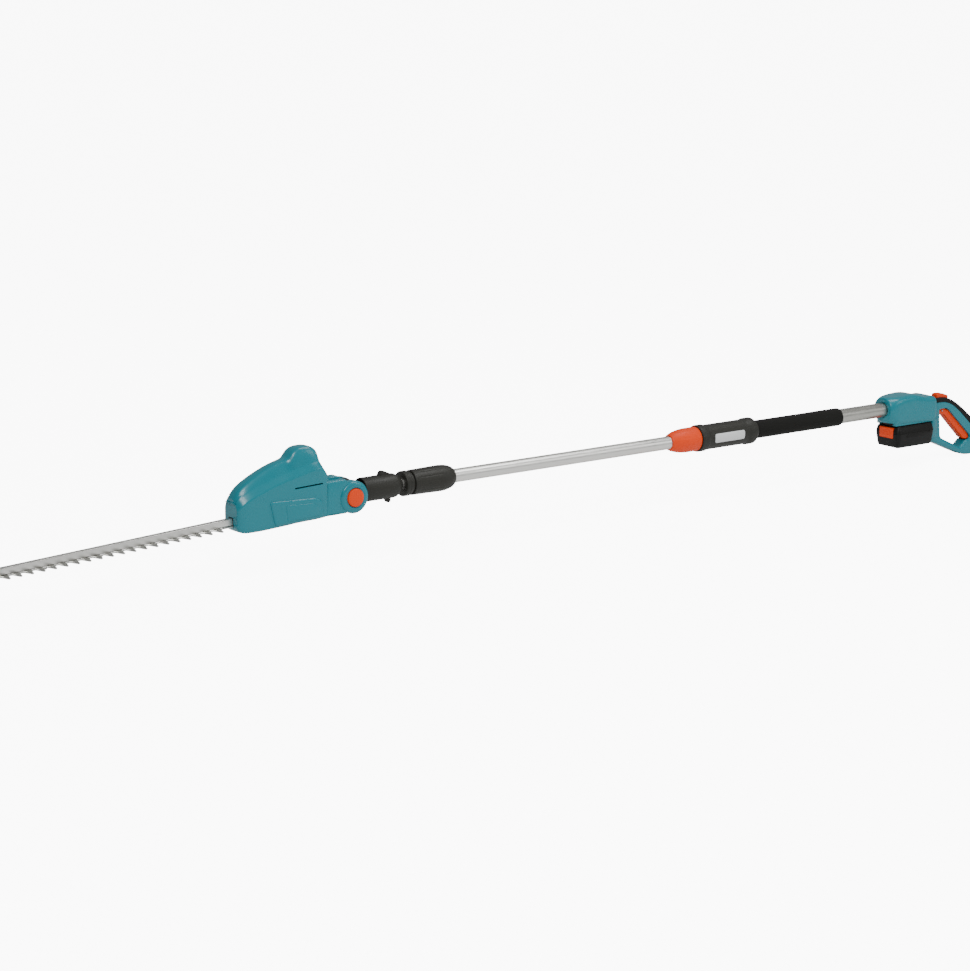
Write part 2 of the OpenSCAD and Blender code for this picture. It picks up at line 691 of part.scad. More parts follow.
module battery_cells() color([0.10, 0.25, 0.45]) on_pole() for (i = [0:4])
    rod_y(9, -32.5, 32.5, battery_x + 28 + i * 18.6, battery_split - 16);

module battery_terminals() color(BRASS) on_pole() for (y = [-12, 0, 12]) for (s = [-1, 1])
    block([battery_x + 86, y + s * 1 - 0.3, dock_z + 1.6], [battery_x + 97, y + s * 1 + 0.3, dock_z + 6.6]);

module battery_button() color(ORANGE) on_pole()
    block([battery_x - 1.5, -23, battery_split - 12], [battery_x + 9, 23, dock_z - 4]);

module battery_spring() color(STEEL) on_pole() translate([0, 0, battery_split + 2])
    tube_x(4, 3.2, battery_x + 13.2, battery_x + 15.9);

guide_bar();
upper_blade();
lower_blade();
blade_screws();
tip_guard();
head_shell_left();
head_shell_right();
head_screws();
gear_plate();
gear_post();
crank_gear();
crank_bush();
motor_can();
motor_rotor();
blade_wiper();
hub_cap();
tilt_button();
tilt_spring();
pivot_pin();
detent_ring();
thrust_washer();
knuckle_arm();
front_tube();
coupling_ring();
coupling_nut();
tube_collar();
inner_tube();
boom_lead();
guide_bush();
clamp_nut();
clamp_collet();
clamp_sleeve();
badge_plate();
foam_grip();
outer_tube();
coiled_lead();
housing_left();
housing_right();
housing_screws();
tube_socket();
control_board();
contact_block();
switch_unit();
trigger();
trigger_pin();
trigger_spring();
lock_button();
lock_spring();
grip_overmould();
battery_case_upper();
battery_case_lower();
battery_cells();
battery_terminals();
battery_button();
battery_spring();
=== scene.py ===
"""Looks of a long-reach cordless hedge trimmer: a toothed blade on a tilting gear head, a twist-lock
telescopic pole, a foam grip, and a D-handle with a slide-on battery.

Outlines are in millimetres in the pole's frame: x runs along the pole from the knuckle's pivot towards
the handle, z is the height above the pole's axis, and -y is the near side."""
import json
import math

import bmesh
import bpy
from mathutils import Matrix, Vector
from mathutils.geometry import tessellate_polygon


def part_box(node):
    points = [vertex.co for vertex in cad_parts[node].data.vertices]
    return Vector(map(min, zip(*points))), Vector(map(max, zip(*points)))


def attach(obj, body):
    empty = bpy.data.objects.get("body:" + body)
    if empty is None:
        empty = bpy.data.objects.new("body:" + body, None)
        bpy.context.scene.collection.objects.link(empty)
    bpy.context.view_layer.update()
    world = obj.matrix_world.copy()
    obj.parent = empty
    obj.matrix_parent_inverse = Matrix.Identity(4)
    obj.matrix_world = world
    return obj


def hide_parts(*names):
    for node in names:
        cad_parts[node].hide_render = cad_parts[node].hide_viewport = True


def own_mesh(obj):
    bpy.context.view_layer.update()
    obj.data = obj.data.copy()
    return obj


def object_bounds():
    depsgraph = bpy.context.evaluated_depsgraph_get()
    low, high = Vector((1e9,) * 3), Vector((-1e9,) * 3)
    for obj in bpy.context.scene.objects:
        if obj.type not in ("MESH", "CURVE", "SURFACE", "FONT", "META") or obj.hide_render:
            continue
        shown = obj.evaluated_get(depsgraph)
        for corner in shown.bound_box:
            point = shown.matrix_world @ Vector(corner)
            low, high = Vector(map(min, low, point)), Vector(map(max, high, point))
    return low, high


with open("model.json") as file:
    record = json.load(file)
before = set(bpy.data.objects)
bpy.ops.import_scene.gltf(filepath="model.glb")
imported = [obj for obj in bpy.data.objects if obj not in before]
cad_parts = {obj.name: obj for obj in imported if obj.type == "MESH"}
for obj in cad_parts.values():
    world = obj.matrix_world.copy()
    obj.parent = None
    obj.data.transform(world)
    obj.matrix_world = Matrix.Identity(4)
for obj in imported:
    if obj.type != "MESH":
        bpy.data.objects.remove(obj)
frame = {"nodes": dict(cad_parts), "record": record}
cad_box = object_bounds()

MM = 0.001
SMOOTH_ANGLE = math.radians(34)
NEAR, FAR = -1, 1

# ---------------------------------------------------------------- places taken from the frame

pin_low, pin_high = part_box("pivot_pin")
tube_low, tube_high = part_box("inner_tube")
PIVOT = Vector(((pin_low.x + pin_high.x) / 2, 0, (tube_low.z + tube_high.z) / 2))
HUB_Z = ((pin_low.z + pin_high.z) / 2 - PIVOT.z) / MM
BLADE_SLOPE = math.radians(3)
BLADE_ORIGIN = (-284, -31)


def station(node, end):
    """Where a node starts (end 0) or ends (end 1) along the pole, in millimetres from the pivot."""
    return (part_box(node)[end].x - PIVOT.x) / MM


# ---------------------------------------------------------------- shapes, as vertices and faces

def cubic(a, b, c, d, n):
    """Points on a cubic Bezier curve between a and d."""
    ts = [i / n for i in range(n + 1)]
    return [
        tuple(
            (1 - t) ** 3 * p + 3 * (1 - t) ** 2 * t * q + 3 * (1 - t) * t * t * r + t ** 3 * s
            for p, q, r, s in zip(a, b, c, d)
        )
        for t in ts
    ]


def filleted(points, radius, n=4):
    """The outline with each corner rounded off."""
    out = []
    count = len(points)
    for i, corner in enumerate(points):
        here = Vector(corner)
        before, after = Vector(points[i - 1]) - here, Vector(points[(i + 1) % count]) - here
        cut_in = min(radius, before.length * 0.45)
        cut_out = min(radius, after.length * 0.45)
        a, b = here + before.normalized() * cut_in, here + after.normalized() * cut_out
        for k in range(n + 1):
            t = k / n
            out.append(tuple((1 - t) ** 2 * a + 2 * (1 - t) * t * here + t * t * b))
    return out


def turned_left(points):
    """The outline counter-clockwise."""
    area = sum(p[0] * q[1] - q[0] * p[1] for p, q in zip(points, points[1:] + points[:1]))
    return points if area > 0 else points[::-1]


def inset(points, distance, weights=None):
    """A counter-clockwise outline moved inwards by distance, or outwards when it is negative.

    weights, one for each point, hold parts of the outline back."""
    out = []
    count = len(points)
    for i in range(count):
        here = Vector(points[i])
        one, two = here - Vector(points[i - 1]), Vector(points[(i + 1) % count]) - here
        one, two = one.normalized(), two.normalized()
        n1, n2 = Vector((-one.y, one.x)), Vector((-two.y, two.x))
        mitre = (n1 + n2) / max(0.35, 1 + n1.dot(n2))
        out.append(tuple(here + mitre * distance * (weights[i] if weights else 1)))
    return out


class Shape:
    """Vertices and faces of a piece, in millimetres in the pole's frame."""

    def __init__(self):
        self.verts = []
        self.faces = []

    def add(self, verts, faces):
        base = len(self.verts)
        self.verts += [tuple(v) for v in verts]
        self.faces += [tuple(base + i for i in face) for face in faces]
        return self

    def rings(self, rings, closed=True, wrap=False):
        """Quads between rings of points. closed joins each ring's ends, wrap joins last ring to first."""
        count = len(rings[0])
        verts = [v for ring in rings for v in ring]
        faces = []
        for i in range(len(rings) - (0 if wrap else 1)):
            a, b = i * count, (i + 1) % len(rings) * count
            for k in range(count if closed else count - 1):
                m = (k + 1) % count
                faces.append((a + k, a + m, b + m, b + k))
        return self.add(verts, faces)

    def lathe(self, outline, turns=96, axis="x", centre=(0, 0, 0), change=None):
        """A solid of revolution. The outline's points are (radius, place along the axis)."""
        rings = []
        for step in range(turns):
            angle = 2 * math.pi * step / turns
            ring = []
            for radius, along in outline:
                r = radius if change is None else change(radius, along, angle)
                c, s = r * math.cos(angle), r * math.sin(angle)
                local = (along, c, s) if axis == "x" else (s, along, c) if axis == "y" else (c, s, along)
                ring.append(tuple(p + q for p, q in zip(local, centre)))
            rings.append(ring)
        return self.rings(rings, wrap=True)

    def slab(self, outline, levels, axis="y", holes=(), held=None):
        """An outline swept along an axis. Each level is (how far the outline is inset, place).

        held says how much of the inset a point of the outline takes, given the point."""
        loops = [(turned_left(list(outline)), 1)] + [(turned_left(list(h)), -1) for h in holes]

        def place(point, along):
            u, v = point
            return (u, along, v) if axis == "y" else (along, u, v) if axis == "x" else (u, v, along)

        def drawn_in(loop, side, depth):
            return inset(loop, side * depth, [held(p) for p in loop] if held else None)

        for loop, side in loops:
            self.rings([[place(p, h) for p in drawn_in(loop, side, d)] for d, h in levels])
        for depth, height in (levels[0], levels[-1]):
            capped = [drawn_in(loop, side, depth) for loop, side in loops]
            triangles = tessellate_polygon([[Vector((*p, 0)) for p in loop] for loop in capped])
            self.add([place(p, height) for loop in capped for p in loop], triangles)
        return self

    def box(self, low, high, radius=0.8):
        """A box between two corners, with rounded edges."""
        outline = [(low[0], low[2]), (high[0], low[2]), (high[0], high[2]), (low[0], high[2])]
        return self.slab(filleted(outline, radius * 1.6), rounded(low[1], high[1], radius, radius))


def rounded(low, high, round_low=0.0, round_high=0.0, steps=4):
    """Levels for a slab whose rims have these radii, each a number or (across, along)."""
    def pair(radius):
        return radius if isinstance(radius, tuple) else (radius, radius)

    turns = [math.pi / 2 * k / steps for k in range(steps + 1)]
    (a, b), (c, d) = pair(round_low), pair(round_high)
    start = [(a * (1 - math.sin(t)), low + b * (1 - math.cos(t))) for t in turns] if b else [(0, low)]
    end = [(c * (1 - math.sin(t)), high - d * (1 - math.cos(t))) for t in turns] if d else [(0, high)]
    return start + end[::-1]


def to_frame(point):
    return PIVOT + Vector(point) * MM


def blade_frame(point):
    """A point given in the blade's sloping frame, moved to the pole's frame."""
    x, y, z = point
    c, s = math.cos(BLADE_SLOPE), math.sin(BLADE_SLOPE)
    return (BLADE_ORIGIN[0] + x * c - z * s, y, BLADE_ORIGIN[1] + x * s + z * c)


def make(name, shape, place=None, merge=0.01):
    """A Blender object from a shape, with clean outward faces."""
    mesh = bpy.data.meshes.new(name)
    verts = [to_frame(v if place is None else place(v)) for v in shape.verts]
    mesh.from_pydata(verts, [], shape.faces)
    work = bmesh.new()
    work.from_mesh(mesh)
    bmesh.ops.remove_doubles(work, verts=work.verts, dist=merge * MM)
    bmesh.ops.dissolve_degenerate(work, edges=work.edges, dist=merge * MM)
    bmesh.ops.recalc_face_normals(work, faces=work.faces)
    work.to_mesh(mesh)
    work.free()
    obj = bpy.data.objects.new(name, mesh)
    bpy.context.scene.collection.objects.link(obj)
    return obj


def soften(obj):
    """Smooth shading, broken only at true edges."""
    obj.data.shade_smooth()
    obj.data.set_sharp_from_angle(angle=SMOOTH_ANGLE)


def settle(obj):
    """Applies an object's modifiers to its mesh."""
    depsgraph = bpy.context.evaluated_depsgraph_get()
    mesh = bpy.data.meshes.new_from_object(obj.evaluated_get(depsgraph))
    obj.modifiers.clear()
    obj.data = mesh


def round_off(obj, levels=2):
    """Turns a coarse cage into a smooth surface."""
    subdivide = obj.modifiers.new("smooth", "SUBSURF")
    subdivide.levels = subdivide.render_levels = levels
    settle(obj)


def thicken(obj, thickness):
    shell = obj.modifiers.new("wall", "SOLIDIFY")
    shell.thickness = thickness * MM
    shell.offset = -1
    settle(obj)


def cut(obj, cutter):
    """Takes the cutter's shape out of the object and deletes the cutter."""
    boolean = obj.modifiers.new("cut", "BOOLEAN")
    boolean.object = cutter
    boolean.solver = "MANIFOLD"
    settle(obj)
    bpy.data.objects.remove(cutter)


def join(first, *others):
    """Adds the other objects' meshes to the first."""
    work = bmesh.new()
    for obj in (first, *others):
        work.from_mesh(obj.data)
    work.to_mesh(first.data)
    work.free()
    for obj in others:
        bpy.data.objects.remove(obj)
    return first


def finish_piece(obj, body, slot, *nodes):
    """Gives a piece its finish, its body and the CAD nodes that it stands for."""
    soften(obj)
    obj.data.materials.clear()
    obj.data.materials.append(MATERIALS[slot])
    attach(obj, body)
    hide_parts(*nodes)
    return obj


# ---------------------------------------------------------------- materials

PATCHES_PER_METRE = 34.0
FINE_SHARE = 0.35
DARKER, LIGHTER = 2.2, 1.2


def linear(srgb):
    """Scene-linear colour from an sRGB colour with parts of 0 to 255."""
    parts = [c / 255 for c in srgb]
    return tuple(c / 12.92 if c <= 0.04045 else ((c + 0.055) / 1.055) ** 2.4 for c in parts) + (1.0,)


def material(name, colour, rough, metallic=0.0, coat=0.0, mottle=0.06, grain=0.0, grain_size=0.6,
             stretch=(1, 1, 1), scuff=0.05, wear=0.0, wear_colour=None, sheen=0.0, gleam=0.3):
    """A procedural finish: mottled colour, uneven roughness, fine grain and rubbed edges.

    grain is the grain's depth and grain_size its spacing, both in millimetres. stretch scales the
    noise along each axis, so (0.01, 1, 1) draws brush lines along x. gleam is the strength
    of the highlights."""
    mat = bpy.data.materials.new(name)
    mat.use_nodes = True
    tree = mat.node_tree
    shader = tree.nodes["Principled BSDF"]

    def node(kind, **values):
        made = tree.nodes.new("ShaderNode" + kind)
        for key, value in values.items():
            if key in made.inputs:
                made.inputs[key].default_value = value
            else:
                setattr(made, key, value)
        return made

    def link(a, out, b, into):
        tree.links.new(a.outputs[out], b.inputs[into])

    place = node("TexCoord")
    patches = node("TexNoise", Scale=PATCHES_PER_METRE, Detail=3.0, Roughness=0.55)
    link(place, "Object", patches, "Vector")
    fine_map = node("Mapping")
    fine_map.inputs["Scale"].default_value = stretch
    link(place, "Object", fine_map, "Vector")
    fine = node("TexNoise", Scale=1000.0 / grain_size, Detail=2.0, Roughness=0.6)
    link(fine_map, "Vector", fine, "Vector")

    base = linear(colour)
    dark = tuple(c * (1 - DARKER * mottle) for c in base[:3]) + (1.0,)
    light = tuple(min(1.0, c * (1 + LIGHTER * mottle)) for c in base[:3]) + (1.0,)
    tint = node("Mix", data_type="RGBA")
    tint.inputs[6].default_value = dark
    tint.inputs[7].default_value = light
    blend = node("Math", operation="MULTIPLY_ADD")
    blend.inputs[1].default_value = FINE_SHARE
    link(fine, "Fac", blend, 0)
    spread = node("Math", operation="MULTIPLY")
    spread.inputs[1].default_value = 1 - FINE_SHARE
    link(patches, "Fac", spread, 0)
    link(spread, "Value", blend, 2)
    link(blend, "Value", tint, "Factor")
    colour_out = (tint, 2)

    uneven = node("MapRange")
    uneven.inputs["To Min"].default_value = rough - scuff
    uneven.inputs["To Max"].default_value = min(1.0, rough + scuff)
    uneven.inputs["From Min"].default_value = 0.3
    uneven.inputs["From Max"].default_value = 0.7
    link(patches, "Fac", uneven, "Value")

    if wear:
        edge = node("Bevel", samples=4)
        edge.inputs["Radius"].default_value = 1.2 * MM
        true = node("NewGeometry")
        agree = node("VectorMath", operation="DOT_PRODUCT")
        link(edge, "Normal", agree, 0)
        link(true, "Normal", agree, 1)
        rubbed = node("MapRange")
        rubbed.inputs["From Min"].default_value = 0.985
        rubbed.inputs["From Max"].default_value = 0.86
        rubbed.inputs["To Max"].default_value = wear
        link(agree, "Value", rubbed, "Value")
        patchy = node("Math", operation="MULTIPLY")
        link(rubbed, "Result", patchy, 0)
        link(fine, "Fac", patchy, 1)
        worn = node("Mix", data_type="RGBA")
        link(patchy, "Value", worn, "Factor")
        tree.links.new(colour_out[0].outputs[colour_out[1]], worn.inputs[6])
        worn.inputs[7].default_value = linear(wear_colour or tuple(min(255, c + 60) for c in colour))
        colour_out = (worn, 2)

    tree.links.new(colour_out[0].outputs[colour_out[1]], shader.inputs["Base Color"])
    link(uneven, "Result", shader, "Roughness")
    shader.inputs["Metallic"].default_value = metallic
    shader.inputs["Coat Weight"].default_value = coat
    shader.inputs["Coat Roughness"].default_value = 0.12
    shader.inputs["Sheen Weight"].default_value = sheen
    shader.inputs["Specular IOR Level"].default_value = gleam
    if grain:
        bump = node("Bump", Strength=1.0)
        bump.inputs["Distance"].default_value = grain * MM
        link(fine, "Fac", bump, "Height")
        link(bump, "Normal", shader, "Normal")
    return mat


MATERIALS = {
    "teal_gloss": material("teal_gloss", (0, 114, 127), 0.3, coat=0.16, mottle=0.02, grain=0.003,
                           grain_size=1.4, wear=0.25, wear_colour=(12, 138, 150), gleam=0.35),
    "orange_plastic": material("orange_plastic", (222, 62, 8), 0.45, mottle=0.03, grain=0.008, wear=0.4,
                               wear_colour=(232, 92, 40), gleam=0.2),
    "charcoal_plastic": material("charcoal_plastic", (38, 38, 34), 0.5, mottle=0.06, grain=0.02, wear=0.4,
                                 wear_colour=(84, 84, 78), gleam=0.25),
    "black_plastic": material("black_plastic", (12, 12, 11), 0.45, mottle=0.06, grain=0.012, wear=0.35,
                              wear_colour=(52, 52, 50), gleam=0.2),
    "soft_grip": material("soft_grip", (13, 13, 12), 0.7, mottle=0.08, grain=0.05, grain_size=0.9, sheen=0.04,
                          gleam=0.2),
    "foam": material("foam", (20, 20, 18), 0.9, mottle=0.2, grain=0.16, grain_size=1.3, scuff=0.04,
                     sheen=0.05, gleam=0.15),
    "blade_steel": material("blade_steel", (178, 178, 174), 0.3, metallic=1.0, mottle=0.05, grain=0.006,
                            grain_size=0.35, stretch=(1, 0.04, 1), wear=0.5, wear_colour=(225, 225, 222)),
    "plain_steel": material("plain_steel", (160, 160, 158), 0.28, metallic=1.0, grain=0.004, wear=0.4,
                            wear_colour=(215, 215, 212)),
    "tube_alu": material("tube_alu", (216, 216, 212), 0.34, metallic=1.0, mottle=0.03, grain=0.006,
                         grain_size=0.3, stretch=(0.012, 1, 1)),
    "tube_alu_dark": material("tube_alu_dark", (176, 176, 170), 0.36, metallic=1.0, mottle=0.03, grain=0.006,
                              grain_size=0.3, stretch=(0.012, 1, 1)),
    "cast_alu": material("cast_alu", (150, 150, 148), 0.55, metallic=1.0, mottle=0.1, grain=0.05,
                         grain_size=0.8),
    "bronze": material("bronze", (170, 128, 74), 0.4, metallic=1.0, mottle=0.1, grain=0.02),
    "badge": material("badge", (206, 208, 208), 0.35, mottle=0.02, grain=0.003, wear=0.3,
                      wear_colour=(150, 152, 152)),
    "board": material("board", (20, 84, 44), 0.35, mottle=0.12, grain=0.02),
    "cell_wrap": material("cell_wrap", (30, 70, 128), 0.3, mottle=0.04, grain=0.004),
    "contact_brass": material("contact_brass", (200, 166, 96), 0.3, metallic=1.0, grain=0.004),
}

for part in frame["record"]["subparts"]:
    node_mesh = frame["nodes"][part["node"]].data
    node_mesh.materials.clear()
    node_mesh.materials.append(MATERIALS[part["material_slot"]])


# ---------------------------------------------------------------- blade

TEETH = 22
FIRST_TOOTH = -39.5
TOOTH_PITCH = 25.6
TOOTH_REACH = 32
STRIP_HALF = 9.5
BLADE_TIP = -587
BLADE_T = 2
GROUND_EDGE = 1.5
CRANK_X = 148
SCREWS = [-556 + 125 * i for i in range(5)]


def tooth(x, side):
    """One tooth's outline, from its rear root to its front root."""
    outline = [(9, STRIP_HALF), (7.4, 13), (2.6, TOOTH_REACH - 1.4), (1.2, TOOTH_REACH),
               (-1.2, TOOTH_REACH), (-2.6, TOOTH_REACH - 1.4), (-7.4, 13), (-9, STRIP_HALF)]
    return [(x + u, side * v) for u, v in outline]


def toothed_blade(name, node, top, ground_on_top):
    """A toothed blade whose ground edges are on its outer face."""
    middle = [FIRST_TOOTH - TOOTH_PITCH * i for i in range(TEETH)]
    outline = [(174, -21), (174, 21), (122, 21), (122, STRIP_HALF)]
    for x in middle:
        outline += tooth(x, FAR)
    outline += [(BLADE_TIP, STRIP_HALF), (BLADE_TIP, -STRIP_HALF)]
    for x in reversed(middle):
        outline += tooth(x, NEAR)[::-1]
    outline += [(122, -STRIP_HALF), (122, -21)]
    slots = [filleted([(x - 9, -2.3), (x + 9, -2.3), (x + 9, 2.3), (x - 9, 2.3)], 2.2) for x in SCREWS]
    window = [(CRANK_X - 22, -15.7), (CRANK_X + 22, -15.7), (CRANK_X + 22, 15.7), (CRANK_X - 22, 15.7)]
    low = top - BLADE_T
    if ground_on_top:
        levels = [(0, low), (0, low + 0.8), (GROUND_EDGE, top)]
    else:
        levels = [(GROUND_EDGE, low), (0, top - 0.8), (0, top)]
    shape = Shape().slab(outline, levels, axis="z", holes=slots + [window])
    return finish_piece(make(name, shape, place=blade_frame), node, "blade_steel", node)


toothed_blade("ground_blade_upper", "upper_blade", -0.1, True)
toothed_blade("ground_blade_lower", "lower_blade", -2.2, False)

# Square tube that the blades run along
square = filleted([(-7, 0), (7, 0), (7, 14), (-7, 14)], 1.6)
bore = filleted([(-5.3, 1.7), (5.3, 1.7), (5.3, 12.3), (-5.3, 12.3)], 1)
bar = Shape().slab(square, [(0.4, -596), (0, -595.6), (0, 59.6), (0.4, 60)], axis="x", holes=[bore])
finish_piece(make("square_bar", bar, place=blade_frame), "head", "tube_alu", "guide_bar")

# Lip seal where the bar leaves the nose
seal = filleted([(-8.2, -0.3), (8.2, -0.3), (8.2, 15.2), (-8.2, 15.2)], 1)
seal_hole = [(-7.05, -0.05), (7.05, -0.05), (7.05, 14.05), (-7.05, 14.05)]
lip = Shape().slab(seal, [(0.3, -0.4), (0, 0), (0, 6)], axis="x", holes=[seal_hole])
finish_piece(make("bar_lip", lip, place=blade_frame), "head", "black_plastic", "blade_wiper")

# Blunt plate at the bar's tip
plate = filleted([(-21, -6), (21, -6), (21, 3), (9, 17), (-9, 17), (-21, 3)], 5)
guard = Shape().slab(plate, rounded(-605, -599, 2, 1.4), axis="x")
guard.box((-598.5, -5, 2), (-575, 5, 12))
finish_piece(make("tip_plate", guard, place=blade_frame), "head", "black_plastic", "tip_guard")

# ---------------------------------------------------------------- gear head

SEAM = 0.12
HEAD_WALL = 2.6
TONGUE_CLEARANCE = 35.7
REAR_LEAN = 0.34
LEAN_FROM = 52
HUMP_FROM, HUMP_RISE = 92, 24

# Stations of the head: x, underside, crease, ridge, half width, half width of the ridge
HEAD = [
    (-284, -36, 8, 24, 24, 13),
    (-281, -43, 13, 31, 28, 15),
    (-272, -48.5, 21, 43, 32, 16.5),
    (-255, -49, 30, 55, 33, 16.5),
    (-232, -49, 39, 67, 33, 16),
    (-205, -47.5, 48, 79, 33, 15.5),
    (-178, -46, 56, 88, 33, 15),
    (-160, -45, 60, 91.5, 33, 15.5),
    (-151, -44, 62, 96, 33, 17.5),
    (-143, -43.5, 64, 107, 33, 20),
    (-131, -43, 66, 114.5, 33, 21),
    (-116, -42.5, 70, 115.5, 33, 21.5),
    (-101, -42.2, 73, 115, 33, 21.5),
    (-90, -41.6, 74, 111, 33, 20.5),
    (-81, -41, 73, 103, 32.8, 19),
    (-73, -40.5, 68, 93, 32.4, 17.5),
    (-66, -39.5, 60, 82, 31.5, 16.5),
]


def head_ring(x, bottom, crease, top, half, ridge, squeeze=1.0, lean=0.0):
    """Half of a cross-section, from the underside's seam round the flank to the ridge's seam."""
    bulb = max(0.0, top - HUMP_FROM) / HUMP_RISE
    shoulder = top - 7 - 6 * bulb
    outline = [(0, bottom), (half * 0.55, bottom), (half * 0.92, bottom + 0.8), (half, bottom + 6),
               (half, bottom + 18), (half, crease - 16), (half, crease - 7.5), (half - 1.4, crease - 5),
               (max(half - 9.5, ridge + 5), crease + 6), (max(half - 11, ridge + 4.4), crease + 9.5),
               (ridge + 3.4 - 1.5 * bulb, shoulder - 5), (ridge * 0.86, top - 2.2), (ridge * 0.45, top - 0.2),
               (0, top)]
    return [(x - lean * max(0, z - LEAN_FROM), max(SEAM, y * squeeze), z) for y, z in outline]


def head_cage(side):
    rings = [head_ring(*HEAD[0], squeeze=q) for q in (0, 0.55, 0.9)]
    leans = [0] * (len(HEAD) - 2) + [REAR_LEAN * 0.7, REAR_LEAN]
    rings += [head_ring(*row, lean=lean) for row, lean in zip(HEAD, leans)]
    last = (HEAD[-1][0] + 1.6,) + HEAD[-1][1:]
    rings += [head_ring(*last, squeeze=q, lean=REAR_LEAN) for q in (0.9, 0.55, 0)]
    return [[(x, side * y, z) for x, y, z in ring] for ring in rings]


def hub_arc(radius, start, end, n=14):
    """Points of a circle round the pivot, between two angles in degrees."""
    angles = [math.radians(start + (end - start) * k / n) for k in range(n + 1)]
    return [(radius * math.cos(a), HUB_Z + radius * math.sin(a)) for a in angles]


def mirrored(levels, side):
    """Levels along y that were given for the far side, on this side."""
    return levels if side > 0 else [(d, -h) for d, h in reversed(levels)]


def head_shell(side, name, node):
    body = make(name, Shape().rings(head_cage(side), closed=False))
    round_off(body, 3)
    thicken(body, HEAD_WALL)
    slot_shape = Shape().slab([(-12, -5.6), (12, -5.6), (12, 15.4), (-12, 15.4)], [(0, -8.4), (0, 8.4)])
    slot_shape.slab([(-12.5, -6), (12.5, -6), (12.5, 0.2), (-12.5, 0.2)], [(0, -10.4), (0, 10.4)])
    cut(body, make("bar_slot", slot_shape, place=blade_frame))
    groove = filleted([(-148, 31), (-78, 33.4), (-78, 36.4), (-148, 34)], 1.2)
    cut(body, make("groove", Shape().slab(groove, mirrored([(0, 28), (0, 36)], side))))

    extras = Shape()
    inner = [(-70, 36), (-70, -38), (-21, -36.5)] + hub_arc(TONGUE_CLEARANCE, 234, 128) + [(-22, 35)]
    extras.slab(inner, mirrored([(0, SEAM), (0, 16.5)], side))
    outer = filleted([(-70, 36), (-70, -38), (-20, -37.5), (-12, -35), (-12, 28), (-20, 36)], 3)
    extras.slab(outer, mirrored(rounded(16.5, 32.5, 0, 4), side))
    ear = [(8.05, 16.5), (35, 16.5), (35, 28)] + cubic((35, 30), (35, 34), (32, 36.6), (27, 37.2), 7)
    ear += [(22.5, 37.3), (21, 36.8), (20.2, 35.8), (19.9, 34.8), (19.9, 20.2), (8.05, 20.2)]
    extras.lathe([(r, side * y) for r, y in ear], axis="y", turns=120, centre=(0, 0, HUB_Z))
    bump = filleted([(-58, 32), (-52, 38.5), (-45, 41), (-27, 41), (-21, 38), (-19, 30)], 4)
    extras.slab(bump, mirrored(rounded(SEAM, 12, 0, 3), side))
    pad = filleted([(-210, 12), (-96, 7), (-82, -1), (-78, -36), (-198, -41)], 7)
    extras.slab(pad, mirrored(rounded(31, 36, 0, (4, 3)), side))
    label = filleted([(-172, 0), (-106, -3), (-92, -10), (-90, -31), (-168, -35)], 5)
    extras.slab(label, mirrored(rounded(34, 36.8, 0, 0.8), side))
    join(body, make("extras", extras))
    return finish_piece(body, "head", "teal_gloss", node)


head_shell(NEAR, "head_cover_near", "head_shell_left")
head_shell(FAR, "head_cover_far", "head_shell_right")

# Round caps of the hub: the orange tilt button on the near side, a plain cap on the far side
button = [(0, 28), (19.4, 28), (19.4, 39.4)] + cubic((18.6, 40.6), (17.6, 41.6), (8, 42), (0, 42), 8)
hub = (0, 0, HUB_Z)
near_button = Shape().lathe([(r, -y) for r, y in button], axis="y", centre=hub)
finish_piece(make("tilt_button_cap", near_button), "tilt_button", "orange_plastic", "tilt_button")
far_cap = Shape().lathe(button, axis="y", centre=hub)
finish_piece(make("hub_cap_far", far_cap), "head", "teal_gloss", "hub_cap")

# ---------------------------------------------------------------- arm and coupling

arm = Shape()
arm.lathe([(15.06, 62), (25, 37), (26.2, 37.6), (26.6, 39), (26.6, 116), (26.2, 120), (25.4, 123),
           (20.4, 132), (19.4, 134.4), (18.6, 135), (15.06, 135)])
tongue = hub_arc(33.6, 52, 308, 40) + [(30, -21), (44, -21), (44, 17), (30, 17)]
arm.slab(tongue, rounded(-13.5, 13.5, 1, 1), holes=[hub_arc(8.05, 0, 350, 35)])
hook = filleted([(82, 22), (85, 31), (89, 35.4), (97, 34.6), (106, 30.5), (113.5, 26.5), (113, 20)], 3.5)
arm.slab(hook, rounded(-7, 7, 2, 2))
catch = filleted([(99, -22), (102, -33), (107, -36), (112, -33.5), (113.5, -22)], 3)
arm.slab(catch, rounded(-6, 6, 2, 2))
finish_piece(make("arm_moulding", arm), "arm", "charcoal_plastic", "knuckle_arm")

collar = [(15.05, 142), (25, 142), (26.6, 142.6), (27.5, 144.2), (27.5, 149), (27.0, 150), (27.0, 151),
          (27.5, 152), (27.5, 156), (26.9, 157.4), (26, 158.4), (24.6, 158.8), (24.6, 162.6), (21, 163),
          (21, 202.4), (20.4, 203), (15.05, 203)]
finish_piece(make("coupling_collar", Shape().lathe(collar)), "arm", "charcoal_plastic", "coupling_ring")


def fluted(first, last, count, depth, sharp=6):
    """A change of radius that presses shallow lengthwise grooves between two stations."""
    def change(radius, along, angle):
        if radius < 22 or not first <= along <= last:
            return radius
        fade = min(1, (along - first) / 4, (last - along) / 4)
        return radius - depth * fade * max(0, math.cos(count * angle)) ** sharp
    return change


barrel = [(15.4, 268), (22, 256), (22, 165.2), (26.4, 165.2), (27.2, 166), (27.5, 167.2)]
barrel += [(27.5 + 1.2 * k / 14, 172 + 64 * k / 14) for k in range(15)]
barrel += cubic((28.7, 240), (28.6, 256), (25.4, 270), (19.4, 275.4), 12) + [(18, 276), (15.4, 276)]
finish_piece(make("coupling_barrel", Shape().lathe(barrel, turns=288, change=fluted(178, 238, 12, 0.7))),
             "coupling_nut", "charcoal_plastic", "coupling_nut")

# ---------------------------------------------------------------- telescopic clamp and grip

